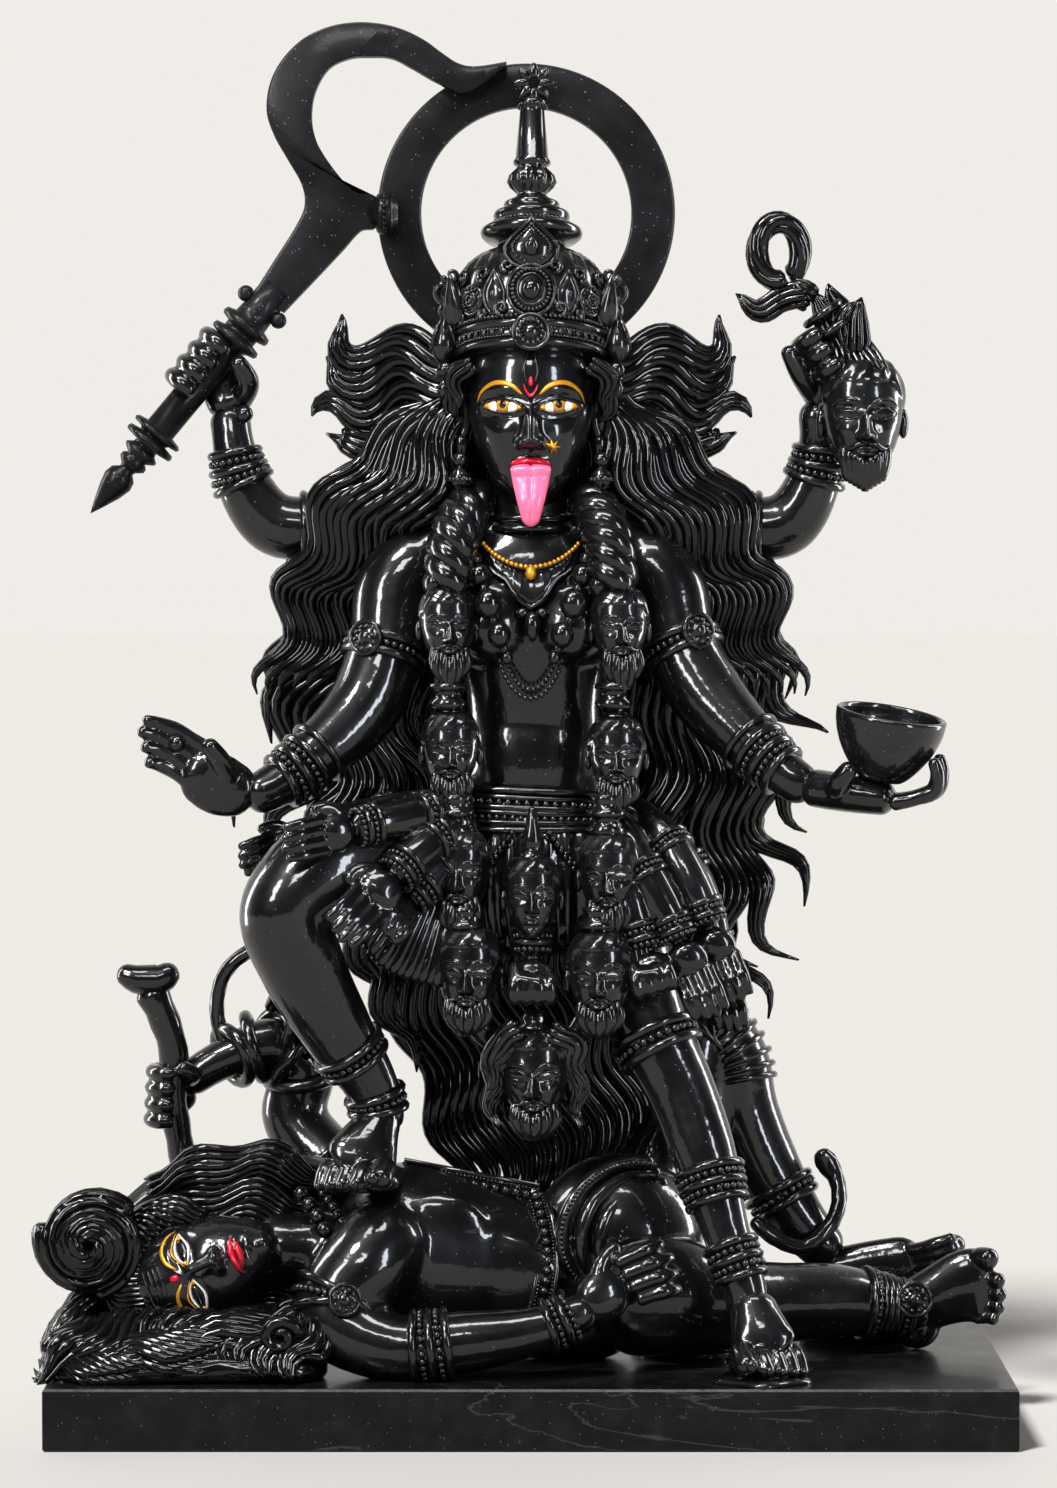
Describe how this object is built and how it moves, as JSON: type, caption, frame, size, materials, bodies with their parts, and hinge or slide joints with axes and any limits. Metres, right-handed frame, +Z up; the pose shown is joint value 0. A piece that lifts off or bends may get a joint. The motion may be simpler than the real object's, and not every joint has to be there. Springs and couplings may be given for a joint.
{
  "type": "kali figure",
  "caption": "Black marble group of four-armed Kali standing on reclining Shiva, with halo, hooked sword, bowl and garland of heads, on a rectangular plinth.",
  "frame": {"origin": "middle of the plinth's underside, where it rests", "axes": "+Z up, the figures face -Y, +X to the right of someone who looks at them"},
  "size_m": [0.6281, 0.305, 0.9216],
  "materials": {
    "plinth_marble": "polished black marble with pale veins",
    "figure_marble": "high polish black marble",
    "slab_marble": "honed black marble with pale flecks",
    "bowl_marble": "polished black marble",
    "gold_enamel": "gold enamel paint on the brows, eye corners, necklace and nose stud",
    "red_enamel": "gloss red enamel paint on lips and forehead marks",
    "pink_enamel": "gloss pink enamel paint on the tongue",
    "eye_enamel": "gloss white enamel paint on the eyes"
  },
  "bodies": {
    "root": {"plinth": "plinth_marble", "kali_and_shiva": "figure_marble", "halo": "slab_marble", "sword": "slab_marble", "bowl": "bowl_marble"}
  },
  "joints": []
}
